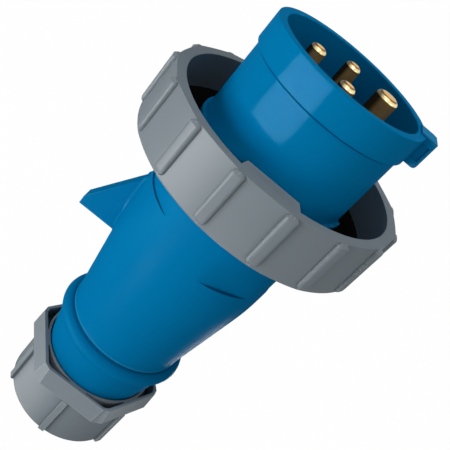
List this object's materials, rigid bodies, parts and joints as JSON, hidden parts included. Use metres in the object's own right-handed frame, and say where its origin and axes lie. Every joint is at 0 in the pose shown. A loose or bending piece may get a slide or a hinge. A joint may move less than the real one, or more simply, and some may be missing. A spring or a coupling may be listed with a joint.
{
  "type": "industrial pin and sleeve plug",
  "caption": "Blue straight industrial plug with a keyed round sleeve around brass pins, a ribbed grey bayonet ring, a tapered handle with a hook and a hexagonal grey gland nut.",
  "frame": {"origin": "centre of the gland nut's rear end, on which the plug stands upright", "axes": "+Z along the plug's axis towards the pins, +X towards the key on the sleeve and the earth pin, -X towards the retaining hook on the handle"},
  "size_m": [0.0802, 0.0798, 0.1535],
  "materials": {
    "blue_plastic": "satin moulded",
    "grey_plastic": "satin moulded",
    "black_plastic": "moulded",
    "black_rubber": "moulded",
    "brass": "turned",
    "plated_steel": "zinc plated"
  },
  "bodies": {
    "plug": {"plug_sleeve": "blue_plastic", "contact_carrier": "black_plastic", "earth_pin": "brass", "line_pin_1": "brass", "line_pin_2": "brass", "line_pin_3": "brass", "terminal_screw_1": "plated_steel", "terminal_screw_2": "plated_steel", "terminal_screw_3": "plated_steel", "terminal_screw_4": "plated_steel", "wire_guard_1": "plated_steel", "wire_guard_2": "plated_steel", "wire_guard_3": "plated_steel", "wire_guard_4": "plated_steel", "carrier_screw_1": "plated_steel", "carrier_screw_2": "plated_steel", "front_gasket": "black_rubber", "housing_seal": "black_rubber", "handle_housing": "blue_plastic", "cable_grommet": "black_rubber", "clamping_collet": "black_plastic"},
    "ring": {"locking_ring": "grey_plastic"},
    "washer": {"thrust_washer": "grey_plastic"},
    "nut": {"gland_nut": "grey_plastic"}
  },
  "joints": [
    {"name": "ring_turn", "type": "hinge", "parent": "plug", "child": "ring", "pos_m": [0, 0, 0.1175], "axis": [0, 0, 1], "range_deg": [0, 60]},
    {"name": "washer_slide", "type": "slide", "parent": "plug", "child": "washer", "axis": [0, 0, -1], "range_m": [0, 0.009]},
    {"name": "nut_turn", "type": "hinge", "parent": "washer", "child": "nut", "pos_m": [0, 0, 0.012], "axis": [0, 0, -1], "range_deg": [0, 1080]}
  ],
  "couplings": [
    {"joint": "washer_slide", "follows": "nut_turn", "m_per_rad": 0.00047746}
  ]
}
